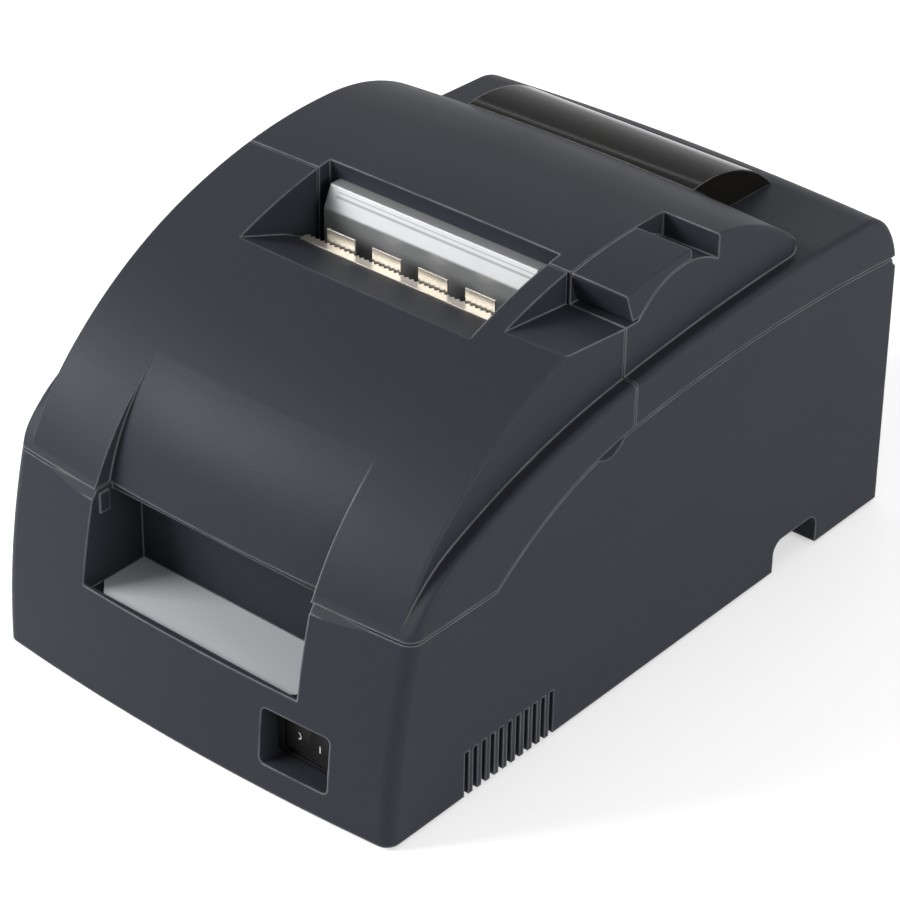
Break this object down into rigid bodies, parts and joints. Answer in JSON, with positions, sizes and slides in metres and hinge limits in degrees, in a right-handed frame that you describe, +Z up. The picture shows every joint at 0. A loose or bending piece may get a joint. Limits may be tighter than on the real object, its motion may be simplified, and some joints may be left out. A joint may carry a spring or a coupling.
{
  "type": "dot matrix printer",
  "caption": "Desktop receipt printer with hinged ribbon cover, clamshell roll cover, push-back lever, paper exit with metal bar, key panel, power switch and working print and feed drives.",
  "frame": {"origin": "on the table under the centre of the body", "axes": "+Z up, the front with the key panel and switch faces -Y, +X to the right seen from the front"},
  "size_m": [0.159, 0.2547, 0.1385],
  "materials": {
    "case": "fine textured",
    "rubber": "matt",
    "screws": "zinc plated",
    "smoked": "smoked, clear",
    "steel": "ground",
    "panel": "printed film, no marks",
    "key": "smooth",
    "black": "fine textured",
    "board": "solder mask",
    "lens": "clear",
    "zinc": "zinc plated sheet",
    "head": "die cast",
    "belt": "ribbed",
    "cassette": "fine textured",
    "ribbon_cloth": "inked",
    "knob": "smooth",
    "gear": "natural acetal",
    "brass": "machined",
    "bar": "brushed",
    "nickel": "nickel plated",
    "bin": "fine textured",
    "connector": "plated shell"
  },
  "bodies": {
    "housing": {"lower_case": "case", "base_plate": "case", "rubber_feet": "rubber", "base_screws": "screws", "roll_hinge_pins": "steel", "panel_overlay": "panel", "key_switch": "black", "panel_board": "board", "status_lights": "lens", "switch_bezel": "black", "switch_body": "black", "mech_frame": "zinc", "frame_screws": "screws", "carriage_shaft": "steel", "carriage_rail": "zinc", "carriage_motor": "zinc", "idler_pin": "steel", "carriage_belt": "belt", "ribbon_cassette": "cassette", "ribbon": "ribbon_cloth", "platen": "zinc", "transfer_pin": "steel", "feed_motor": "zinc", "tear_bar": "steel", "exit_bridge": "black", "paper_guide": "nickel", "paper_bin": "bin", "main_board": "board", "board_components": "black", "interface_plate": "zinc", "power_inlet": "black", "drawer_socket": "black", "data_connector": "connector", "jack_screws": "nickel"},
    "front_cover": {"front_cover": "case"},
    "roll_cover": {"roll_cover": "case", "window": "smoked", "paper_bar": "bar", "lever_pin": "steel", "pressure_shaft": "steel"},
    "release_lever": {"release_lever": "case"},
    "pressure_rollers": {"pressure_rollers": "gear"},
    "carriage": {"carriage": "black", "print_head": "head"},
    "drive_pulley": {"drive_pulley": "black"},
    "idler_pulley": {"idler_pulley": "black"},
    "feed_roller": {"feed_roller": "steel", "feed_rubbers": "rubber", "feed_gear": "gear"},
    "transfer_gear": {"transfer_gear": "gear"},
    "feed_pinion": {"feed_pinion": "brass"},
    "ribbon_drive": {"ribbon_drive": "gear", "ribbon_knob": "knob"},
    "power_rocker": {"power_rocker": "black"},
    "feed_key": {"feed_key": "key"}
  },
  "joints": [
    {"name": "front_cover_hinge", "type": "hinge", "parent": "housing", "child": "front_cover", "pos_m": [0, -0.114, 0.0647], "axis": [1, 0, 0], "range_deg": [0, 55]},
    {"name": "roll_cover_hinge", "type": "hinge", "parent": "housing", "child": "roll_cover", "pos_m": [0, 0.1226, 0.0948], "axis": [-1, 0, 0], "range_deg": [0, 90]},
    {"name": "lever_pivot", "type": "hinge", "parent": "roll_cover", "child": "release_lever", "pos_m": [0.0642, 0.0121, 0.106], "axis": [-1, 0, 0], "range_deg": [0, 14], "stiffness_Nm_per_rad": 0.08, "springref_deg": -6.88},
    {"name": "pressure_roller_spin", "type": "hinge", "parent": "roll_cover", "child": "pressure_rollers", "pos_m": [0, -0.0189, 0.103], "axis": [1, 0, 0], "continuous": true},
    {"name": "carriage_slide", "type": "slide", "parent": "housing", "child": "carriage", "axis": [1, 0, 0], "range_m": [-0.026, 0.026]},
    {"name": "drive_pulley_spin", "type": "hinge", "parent": "housing", "child": "drive_pulley", "pos_m": [0.048, -0.071, 0.0605], "axis": [0, 0, 1], "range_deg": [-290, 290]},
    {"name": "idler_pulley_spin", "type": "hinge", "parent": "housing", "child": "idler_pulley", "pos_m": [-0.048, -0.071, 0.0605], "axis": [0, 0, 1], "range_deg": [-290, 290]},
    {"name": "feed_roller_spin", "type": "hinge", "parent": "housing", "child": "feed_roller", "pos_m": [0, -0.0281, 0.103], "axis": [1, 0, 0], "continuous": true},
    {"name": "transfer_gear_spin", "type": "hinge", "parent": "housing", "child": "transfer_gear", "pos_m": [-0.066, -0.03359, 0.06893], "axis": [1, 0, 0], "continuous": true},
    {"name": "feed_pinion_spin", "type": "hinge", "parent": "housing", "child": "feed_pinion", "pos_m": [-0.066, -0.0376, 0.044], "axis": [1, 0, 0], "continuous": true},
    {"name": "ribbon_drive_spin", "type": "hinge", "parent": "housing", "child": "ribbon_drive", "pos_m": [-0.038, -0.062, 0.10514], "axis": [0, -0.274, 0.9617], "continuous": true},
    {"name": "power_rocker_pivot", "type": "hinge", "parent": "housing", "child": "power_rocker", "pos_m": [0.0447, -0.112, 0.0193], "axis": [0, 0, 1], "range_deg": [0, 12]},
    {"name": "feed_key_slide", "type": "slide", "parent": "housing", "child": "feed_key", "axis": [0, 0, -1], "range_m": [0, 0.0004], "stiffness_N_per_m": 1500, "springref_m": -0.0003}
  ],
  "couplings": [
    {"joint": "drive_pulley_spin", "follows": "carriage_slide", "rad_per_m": 176.99},
    {"joint": "idler_pulley_spin", "follows": "carriage_slide", "rad_per_m": 176.99},
    {"joint": "transfer_gear_spin", "follows": "feed_roller_spin", "ratio": -0.75},
    {"joint": "feed_pinion_spin", "follows": "feed_roller_spin", "ratio": 3}
  ]
}
